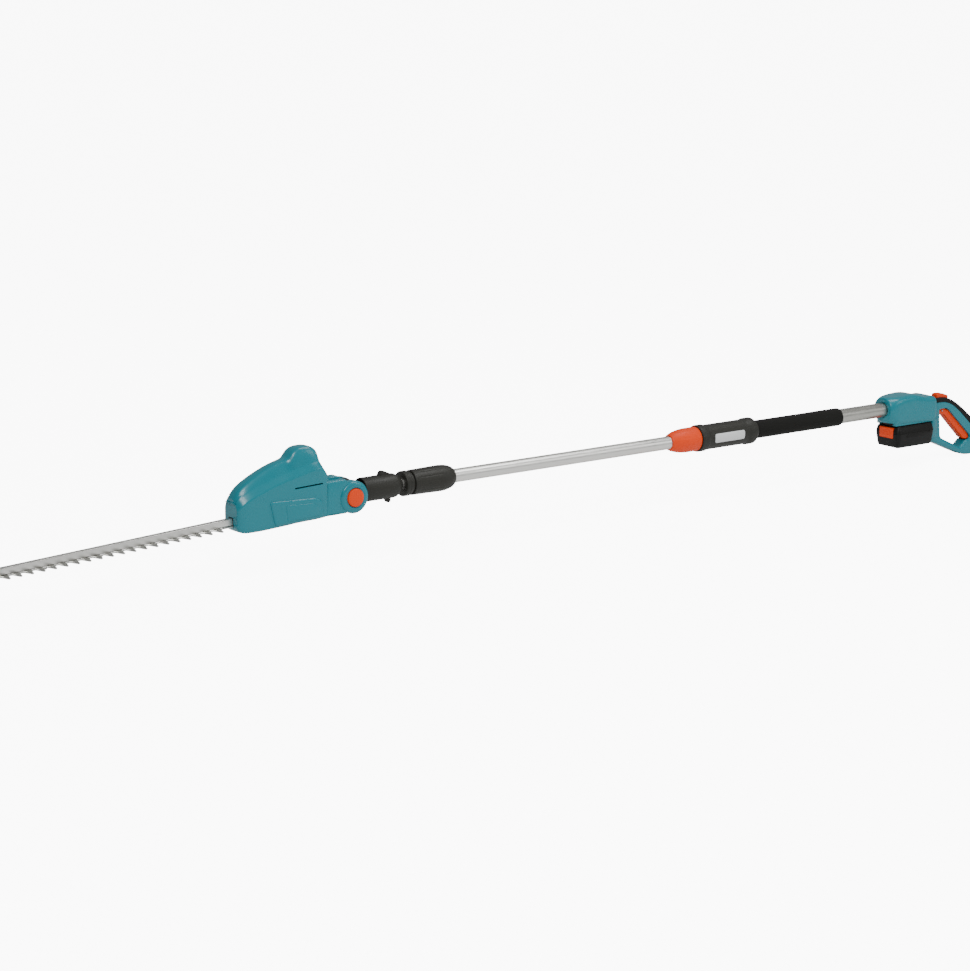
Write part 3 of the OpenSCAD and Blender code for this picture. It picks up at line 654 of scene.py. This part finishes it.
cone = cubic((18.4, 891.4), (24, 902), (27.8, 920), (28.2, 940), 22)
clamp = [(15.4, 902), (15.4, 890), (17, 890)] + cone
clamp += [(28.2, 966), (27.9, 968), (27, 969.2), (25.3, 969.4), (25.3, 932), (20.7, 910)]
finish_piece(make("clamp_cone", Shape().lathe(clamp, turns=288, change=fluted(914, 963, 16, 0.5))),
             "clamp_nut", "orange_plastic", "clamp_nut")

sleeve = [(17.5, 962), (20.1, 958), (20.1, 928), (24.8, 928), (24.8, 970.4), (29.6, 970.4), (30.8, 971.4),
          (31.2, 973.4), (31.2, 988), (30.9, 989.6), (30.2, 990.8)]
sleeve += cubic((29.6, 992), (29.2, 995), (29.2, 999), (29.2, 1004), 5)
sleeve += [(29.2, 1020), (29.2, 1060), (29.2, 1102)]
sleeve += cubic((29.2, 1106), (29.2, 1110), (29.4, 1114), (30.4, 1116), 5)
sleeve += [(31.2, 1117.5), (31.2, 1134), (30.8, 1136.5), (29.6, 1138.6), (27, 1141), (25, 1142.6),
           (24.4, 1144), (24, 1145.8), (23, 1147), (17.5, 1147)]
moulding = make("sleeve_moulding", Shape().lathe(sleeve, turns=144))
finish_piece(moulding, "rear", "charcoal_plastic", "clamp_sleeve")

# Blank badge that follows the sleeve's near side
BADGE_FROM, BADGE_TO, BADGE_HALF, BADGE_CORNER = 1007, 1097, 10.8, 4.5
BADGE_RADIUS = 30
BADGE_ROWS = 24
badge_rings = []
for k in range(BADGE_ROWS + 1):
    arc = BADGE_HALF * math.sin(math.pi * (k / BADGE_ROWS - 0.5))
    past = max(0, abs(arc) - (BADGE_HALF - BADGE_CORNER))
    drawn = BADGE_CORNER - math.sqrt(max(0, BADGE_CORNER ** 2 - past ** 2))
    corners = [(BADGE_FROM + drawn, 29.8), (BADGE_FROM + drawn + 0.4, 30), (BADGE_TO - drawn - 0.4, 30),
               (BADGE_TO - drawn, 29.8), (BADGE_TO - drawn, 29.2), (BADGE_FROM + drawn, 29.2)]
    turn = arc / BADGE_RADIUS
    badge_rings.append([(x, -radius * math.cos(turn), radius * math.sin(turn)) for x, radius in corners])
badge = Shape().rings(badge_rings)
for ring in (badge_rings[0], badge_rings[-1]):
    badge.add(ring, [tuple(range(len(ring)))])
finish_piece(make("blank_badge", badge), "rear", "badge", "badge_plate")

foam_low, foam_high = station("foam_grip", 0), station("foam_grip", 1)
FOAM_ROWS = 90
FOAM_R = 21.3
foam = [(17.6, foam_low)]
foam += cubic((18.6, foam_low), (20.6, foam_low), (FOAM_R, foam_low + 1.5), (FOAM_R, foam_low + 5), 6)
foam += [(FOAM_R + 0.15 * math.sin(math.pi * k / FOAM_ROWS),
          foam_low + 6 + (foam_high - foam_low - 12) * k / FOAM_ROWS) for k in range(FOAM_ROWS + 1)]
foam += cubic((FOAM_R, foam_high - 5), (FOAM_R, foam_high - 1.5), (20.6, foam_high), (18.6, foam_high), 6)
foam += [(17.6, foam_high)]


def slack(radius, along, angle):
    """Foam that is slightly uneven round the tube."""
    if radius < 20:
        return radius
    return radius + 0.12 * math.sin(2 * angle + along * 0.031) + 0.07 * math.sin(3 * angle - along * 0.057)


grip = finish_piece(make("foam_sleeve", Shape().lathe(foam, change=slack)), "rear", "foam", "foam_grip")

# ---------------------------------------------------------------- rear housing and D-handle

HOUSING_WALL = 2.8
HANDLE_HALF = 17
TRIGGER_SLOT_HALF = 11.5

# Stations of the housing: x, half width, underside, top, squareness of the corners
HOUSING = [
    (1567.5, 30.5, -30.5, 29.5, 2.1),
    (1572, 32.5, -33, 30, 2.4),
    (1578, 34.5, -36.5, 30.5, 3),
    (1586, 35.6, -39, 31, 4),
    (1596, 36, -40, 31.4, 5),
    (1612, 36, -40, 32.8, 5.5),
    (1635, 36, -40, 34, 5.5),
    (1654, 36, -40, 32.4, 6),
    (1669, 36, -40, 28, 6.5),
    (1681, 36, -40, 24, 7),
    (1692, 36, -40, 23.4, 7),
    (1703, 36, -40, 24.2, 7),
    (1710, 36, -40, 23.2, 6.5),
    (1715.5, 35, -40, 20, 6),
    (1718, 33, -39, 15.5, 5.5),
]
RING_POINTS = 20
NOSE = 1566
NOSE_HOLE = 17.2
ROUND = 2


def oval(x, half, bottom, top, square, squeeze=1.0):
    """Half of a rounded cross-section, from the underside's seam to the top's seam."""
    middle, height = (top + bottom) / 2, (top - bottom) / 2
    points = []
    for k in range(RING_POINTS + 1):
        t = -math.pi / 2 + math.pi * k / RING_POINTS
        c, s = max(0.0, math.cos(t)), math.sin(t)
        y = half * c ** (2 / square)
        z = middle + height * math.copysign(abs(s) ** (2 / square), s)
        points.append((x, max(SEAM, y * squeeze), z))
    return points


def housing_cage(side):
    rings = [oval(x, hole, -hole, hole, ROUND)
             for x, hole in ((NOSE + 10, NOSE_HOLE), (NOSE + 2, NOSE_HOLE), (NOSE, NOSE_HOLE + 0.6))]
    rings.append(oval(NOSE, 28, -28, 27.5, ROUND))
    rings += [oval(*row) for row in HOUSING]
    last = (1719,) + HOUSING[-1][1:]
    rings += [oval(*last, squeeze=q) for q in (0.9, 0.5, 0)]
    return [[(x, side * y, z) for x, y, z in ring] for ring in rings]


def near_line(point, line, reach=2.5):
    """Whether a point is close to an open line."""
    here = Vector(point)
    for a, b in zip(line, line[1:]):
        a, b = Vector(a), Vector(b)
        t = max(0, min(1, (here - a).dot(b - a) / (b - a).length_squared))
        if (here - (a + (b - a) * t)).length < reach:
            return True
    return False


GRIP_BACK = cubic((1750, 12), (1784, 12), (1808, -4), (1865, -52), 12)
GRIP_HEEL = cubic((1890, -76), (1903, -89), (1908, -104), (1907, -112), 8)
MOULD_EDGE = [(1898, -108), (1886, -92), (1855, -65)]
MOULD_EDGE += cubic((1852, -62), (1806, -19), (1785, 1), (1750, 1), 12) + [(1730, 1)]
HEEL_FOOT = cubic((1900, -112), (1906, -128), (1898, -139), (1880, -141), 8)
LINK_FOOT = [(1862, -142), (1850, -142), (1832, -139.5), (1722, -94), (1705, -88)]
TRIGGER_EDGE = [(1747, -16), (1770, -16), (1778, -21), (1855, -94)]
OPENING = TRIGGER_EDGE + [(1853, -103), (1841, -104), (1825, -118), (1817, -118), (1757, -90), (1752, -84)]
SLOT_OPENING = [(1742, -10), (1776, -10), (1866, -86), (1871, -104), (1852, -113), (1841, -104), (1825, -118),
                (1817, -118), (1757, -90), (1752, -84), (1742, -38)]


def handle_core(side):
    """The teal part of the D: the leg behind the battery, the link below and the grip's core."""
    outline = [(1712, 1)] + MOULD_EDGE[::-1] + HEEL_FOOT + LINK_FOOT + [(1705, -36), (1712, -36)]
    joint = MOULD_EDGE[::-1]

    def held(point):
        if near_line(point, joint) or near_line(point, TRIGGER_EDGE) or point[0] < 1713:
            return 0.08
        return 1.0

    shape = Shape()
    shape.slab(filleted(outline, 3), mirrored([(0, SEAM), (0, TRIGGER_SLOT_HALF)], side),
               holes=[filleted(SLOT_OPENING, 3)])
    shape.slab(filleted(outline, 6), mirrored(rounded(TRIGGER_SLOT_HALF, HANDLE_HALF, 0, (6.5, 5)), side),
               holes=[filleted(OPENING, 5)], held=held)
    return shape


def leg(side):
    """The wide leg behind the battery, which narrows downwards."""
    levels = [(-34, 34.6, 1719), (-42, 33.5, 1721), (-55, 29.5, 1726), (-70, 23.5, 1732.5), (-84, 17.5, 1739)]
    rings = []
    for z, half, rear in levels:
        corners = [(1705, SEAM), (rear, SEAM), (rear, half), (1705, half)]
        rings.append([(x, side * max(SEAM, y), z) for x, y in filleted(corners, 5)])
    shape = Shape().rings(rings)
    for ring in (rings[0], rings[-1]):
        shape.add(ring, [tuple(range(len(ring)))])
    return shape


def dock(side):
    """Rails that the battery hangs in."""
    profile = [(SEAM, -26), (33, -26), (33, -38), (20.5, -38), (20.5, -35), (25.5, -35), (25.5, -31.5),
               (SEAM, -31.5)]
    return Shape().slab([(side * y, z) for y, z in profile], [(0, 1582), (0, 1708)], axis="x")


def housing(side, name, node):
    body = make(name, Shape().rings(housing_cage(side), closed=False))
    round_off(body, 2)
    thicken(body, HOUSING_WALL)
    channel = [(0, -44), (20.5, -44), (20.5, -35.4), (25.5, -35.4), (25.5, -31.5), (0, -31.5)]
    channel = [(side * (y - 1), z) for y, z in channel]
    cut(body, make("channel", Shape().slab(channel, [(0, 1545), (0, 1697)], axis="x")))
    others = [make("core", handle_core(side)), make("leg", leg(side)), make("dock", dock(side))]
    join(body, *others)
    return finish_piece(body, "rear", "teal_gloss", node)


housing(NEAR, "housing_near", "housing_left")
housing(FAR, "housing_far", "housing_right")

# Soft overmould over the back of the grip, open where the lock button sits
BUTTON_TO, BUTTON_HALF = 1781, 9
back = [(1730, 12.2)] + GRIP_BACK + GRIP_HEEL + MOULD_EDGE
rear_back = [(BUTTON_TO + 0.4, -1), (BUTTON_TO + 0.4, 6.4)] + GRIP_BACK[5:] + GRIP_HEEL + MOULD_EDGE[:11]


def held_mould(point):
    return 0.08 if near_line(point, MOULD_EDGE) or point[0] < 1733 else 1.0


mould = Shape()
pocket = BUTTON_HALF + 0.35
mould.slab(back, rounded(pocket, HANDLE_HALF + 0.4, 0, (7, 6)), held=held_mould)
mould.slab(back, mirrored(rounded(pocket, HANDLE_HALF + 0.4, 0, (7, 6)), NEAR), held=held_mould)
mould.slab(rear_back, [(0, -pocket), (0, pocket)])
finish_piece(make("soft_grip_back", mould), "rear", "soft_grip", "grip_overmould")

# Trigger along the inside of the grip
PIN_X, PIN_Z, PIN_HOLE_R = 1758, -22, 2.05
lever = filleted([(1744, -20), (1746, -28), (1768, -33), (1836, -100), (1846, -104), (1857, -101),
                  (1852, -88), (1782, -22), (1768, -16), (1752, -15)], 4)
pin_angles = [k * math.pi / 12 for k in range(24)]
pin_hole = [(PIN_X + PIN_HOLE_R * math.cos(a), PIN_Z + PIN_HOLE_R * math.sin(a)) for a in pin_angles]
rim = (3.4, 3.4)


def held_trigger(point):
    return 0 if math.dist(point, (PIN_X, PIN_Z)) < 3 else 1


trigger = Shape().slab(lever, rounded(-11, 11, rim, rim), holes=[pin_hole], held=held_trigger)
finish_piece(make("finger_trigger", trigger), "trigger", "orange_plastic", "trigger")

# Lock button in front of the thumb, ribbed on top
lock = Shape()
lock_outline = filleted([(1741, 5.4), (1741, 20), (1745, 21.4), (1763, 20.6), (1781, 14), (1781, 5.4)], 3)
lock.slab(lock_outline, rounded(-BUTTON_HALF, BUTTON_HALF, 1.6, 1.6))
for k in range(5):
    x = 1748 + 3.4 * k
    lock.box((x, -6.5, 16), (x + 1.5, 6.5, 21.8 - 0.09 * k * k), 0.5)
finish_piece(make("thumb_lock", lock), "lock_button", "orange_plastic", "lock_button")

WIRE_POINTS = 10
STEPS_PER_TURN = 24


def coil(name, centre, radius, wire, bottom, top, turns, joint):
    """An upright coil spring between two heights."""
    rings = []
    wire_angles = [2 * math.pi * i / WIRE_POINTS for i in range(WIRE_POINTS)]
    steps = turns * STEPS_PER_TURN
    for k in range(steps + 1):
        angle = 2 * math.pi * turns * k / steps
        height = bottom + wire + (top - bottom - 2 * wire) * k / steps
        c, s = math.cos(angle), math.sin(angle)
        rings.append([(centre + (radius + wire * math.cos(a)) * c, (radius + wire * math.cos(a)) * s,
                       height + wire * math.sin(a)) for a in wire_angles])
    shape = Shape().rings(rings)
    for ring in (rings[0], rings[-1]):
        shape.add(ring, [tuple(range(len(ring)))])
    spring = finish_piece(make(name + "_coil", shape), "rear", "plain_steel", name)
    fixed = top if joint == "trigger_pull" else bottom
    to_frame((centre, 0, fixed))
    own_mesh(spring)


coil("trigger_spring", 1812, 2.6, 0.35, -47.3, -43.3, 3, "trigger_pull")
coil("lock_spring", 1754, 3.5, 0.4, -6.8, -0.2, 5, "lock_push")

# ---------------------------------------------------------------- battery

BATTERY_FRONT, BATTERY_REAR, BATTERY_HALF = 1583, 1705, 39.5
BATTERY_TOP, BATTERY_SEAM, BATTERY_FOOT = -40.3, -58, -93
CORNER = 11


def battery_plan():
    x0, x1, y = BATTERY_FRONT, BATTERY_REAR, BATTERY_HALF
    return filleted([(x0, -y), (x1, -y), (x1, y), (x0, y)], CORNER, 7)


def button_pocket():
    return Shape().box((BATTERY_FRONT - 3, -23.4, -70.4), (BATTERY_FRONT + 14, 23.4, -43.4), 0.5)


# Levels of the battery's bulging walls: how far each is drawn in, and its height
TOP_LEVELS = [(-1.1, BATTERY_SEAM + 0.1), (-1.5, BATTERY_SEAM + 0.5), (-1, -54), (0, -50), (1.4, -46),
              (3, -43), (4.4, -41), (5.6, BATTERY_TOP)]
TRAY_LEVELS = [(6.6, BATTERY_FOOT), (4.6, -91.6), (3.2, -88.4), (2, -84), (0.8, -76), (-0.9, -67),
               (-1.5, BATTERY_SEAM - 0.5), (-1.1, BATTERY_SEAM - 0.1)]
upper = make("battery_top", Shape().slab(battery_plan(), TOP_LEVELS, axis="z"))
cut(upper, make("pocket", button_pocket()))
rail = [(-20, -41), (20, -41), (20, -35.7), (25, -35.7), (25, -32), (-25, -32), (-25, -35.7), (-20, -35.7)]
rails = make("rail", Shape().slab(rail, rounded(1589, 1683, 0.5, 0.5), axis="x"))
for y in (-12, 0, 12):
    cut(rails, make("slot", Shape().slab([(y - 1.4, -39), (y + 1.4, -39), (y + 1.4, -32.6), (y - 1.4, -32.6)],
                                         [(0, 1669), (0, 1690)], axis="x")))
finish_piece(join(upper, rails), "battery", "black_plastic", "battery_case_upper")

lower = make("battery_tray", Shape().slab(battery_plan(), TRAY_LEVELS, axis="z"))
cut(lower, make("pocket", button_pocket()))
panel = filleted([(1612, -59.5), (1692, -59.5), (1692, -70), (1612, -70)], 4)
panels = Shape()
for side in (NEAR, FAR):
    panels.slab(panel, mirrored(rounded(38, BATTERY_HALF + 1.9, 0, 0.5), side))
finish_piece(join(lower, make("panels", panels)), "battery", "black_plastic", "battery_case_lower")

face = filleted([(-23, -70), (23, -70), (23, -44), (-23, -44)], 3)
release = Shape().slab(face, rounded(1580.6, 1591.5, 1.2, 0), axis="x")
for k in range(4):
    z = -52 - 3.4 * k
    rib = filleted([(-14, z), (14, z), (14, z + 1.2), (-14, z + 1.2)], 0.55)
    release.slab(rib, rounded(1580.1, 1584, 0.4, 0), axis="x")
finish_piece(make("release_button", release), "battery_button", "orange_plastic", "battery_button")

# ---------------------------------------------------------------- camera, light and floor

LOOK_AT = Vector((-0.2803, -0.1846, 0.1591))
AZIMUTH, ELEVATION = math.radians(-36.8), math.radians(12.14)
DISTANCE = 6.2
LENS = 109.48


def aim(obj, target):
    obj.rotation_euler = (target - obj.location).to_track_quat("-Z", "Y").to_euler()


camera = bpy.data.objects.new("camera", bpy.data.cameras.new("camera"))
bpy.context.scene.collection.objects.link(camera)
camera.data.sensor_fit = "HORIZONTAL"
camera.data.sensor_width = 36
camera.data.lens = LENS
camera.data.clip_end = 200
camera.location = LOOK_AT + DISTANCE * Vector((
    math.sin(AZIMUTH) * math.cos(ELEVATION), -math.cos(AZIMUTH) * math.cos(ELEVATION), math.sin(ELEVATION)))
aim(camera, LOOK_AT)
bpy.context.scene.camera = camera


def soft_light(name, location, target, size, power):
    light = bpy.data.lights.new(name, "AREA")
    light.shape = "DISK"
    light.size = size
    light.energy = power
    obj = bpy.data.objects.new(name, light)
    bpy.context.scene.collection.objects.link(obj)
    obj.location = location
    aim(obj, Vector(target))


soft_light("key", (-2.4, -3.2, 3.8), (-0.2, 0, 0.1), 2.0, 165)
soft_light("fill", (2.8, -3.2, 2.0), (0.4, 0, 0.1), 2.0, 30)
soft_light("top", (1.3, -0.6, 3.2), (0, 0, 0.1), 1.8, 65)

floor_mesh = bpy.data.meshes.new("floor")
FLOOR = 90
FLOOR_GLOW = 9
FLOOR_GAP = 0.0005
floor_corners = [(-FLOOR, -FLOOR, 0), (FLOOR, -FLOOR, 0), (FLOOR, FLOOR, 0), (-FLOOR, FLOOR, 0)]
floor_mesh.from_pydata(floor_corners, [], [(0, 1, 2, 3)])
floor = bpy.data.objects.new("floor", floor_mesh)
bpy.context.scene.collection.objects.link(floor)
paper = material("pale_floor", (246, 246, 246), 0.9, mottle=0.002, scuff=0.02)
floor_mesh.materials.append(paper)
paper_shader = paper.node_tree.nodes["Principled BSDF"]
seen = paper.node_tree.nodes.new("ShaderNodeLightPath")
glow = paper.node_tree.nodes.new("ShaderNodeMath")
glow.operation = "MULTIPLY"
glow.inputs[1].default_value = FLOOR_GLOW
paper_shader.inputs["Emission Color"].default_value = (1, 1, 1, 1)
paper.node_tree.links.new(seen.outputs["Is Camera Ray"], glow.inputs[0])
paper.node_tree.links.new(glow.outputs["Value"], paper_shader.inputs["Emission Strength"])
floor.location.z = cad_box[0].z - FLOOR_GAP

world = bpy.data.worlds.new("studio")
bpy.context.scene.world = world
world.use_nodes = True
world.node_tree.nodes["Background"].inputs["Color"].default_value = (1, 1, 1, 1)
world.node_tree.nodes["Background"].inputs["Strength"].default_value = 0.4
